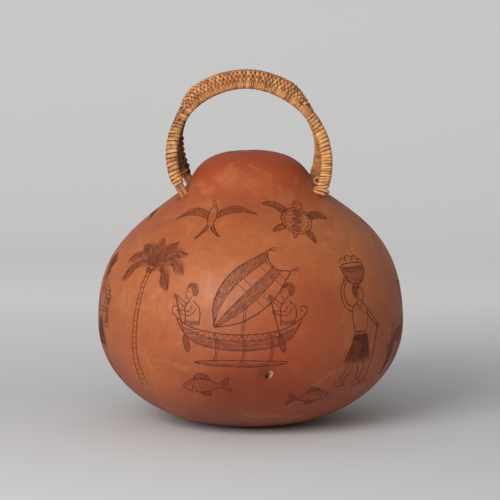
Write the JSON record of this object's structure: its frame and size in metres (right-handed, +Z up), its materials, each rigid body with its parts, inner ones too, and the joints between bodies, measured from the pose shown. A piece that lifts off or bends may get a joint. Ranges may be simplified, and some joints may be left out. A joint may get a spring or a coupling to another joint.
{
  "type": "engraved calabash with bound handle",
  "caption": "Round hollow gourd vessel with a crown mouth, an engraved picture band and an arched carrying handle of paired canes bound with split cane.",
  "frame": {"origin": "centre of the flat resting face under the gourd", "axes": "+Z up through the crown, -Y towards the engraved front with the drilled hole, +X to its right"},
  "size_m": [0.3, 0.3, 0.3483],
  "materials": {
    "gourd_skin": "satin",
    "cane": "satin",
    "split_cane_strip": "satin",
    "split_cane_strand": "satin"
  },
  "bodies": {
    "root": {"calabash_shell": "gourd_skin", "front_outer_cane": "cane", "front_inner_cane": "cane", "back_outer_cane": "cane", "back_inner_cane": "cane", "ridge_core_cane": "cane", "arch_binding": "split_cane_strip", "left_front_leg_binding": "split_cane_strip", "left_back_leg_binding": "split_cane_strip", "right_front_leg_binding": "split_cane_strip", "right_back_leg_binding": "split_cane_strip", "ridge_leader_1": "split_cane_strand", "ridge_leader_2": "split_cane_strand", "ridge_leader_3": "split_cane_strand", "ridge_leader_4": "split_cane_strand", "ridge_leader_5": "split_cane_strand", "ridge_leader_6": "split_cane_strand", "ridge_leader_7": "split_cane_strand", "left_web_lacing": "split_cane_strand", "right_web_lacing": "split_cane_strand", "right_front_foot_lashing": "split_cane_strand", "right_back_foot_lashing": "split_cane_strand", "binding_tail_loop": "split_cane_strand"}
  },
  "joints": []
}
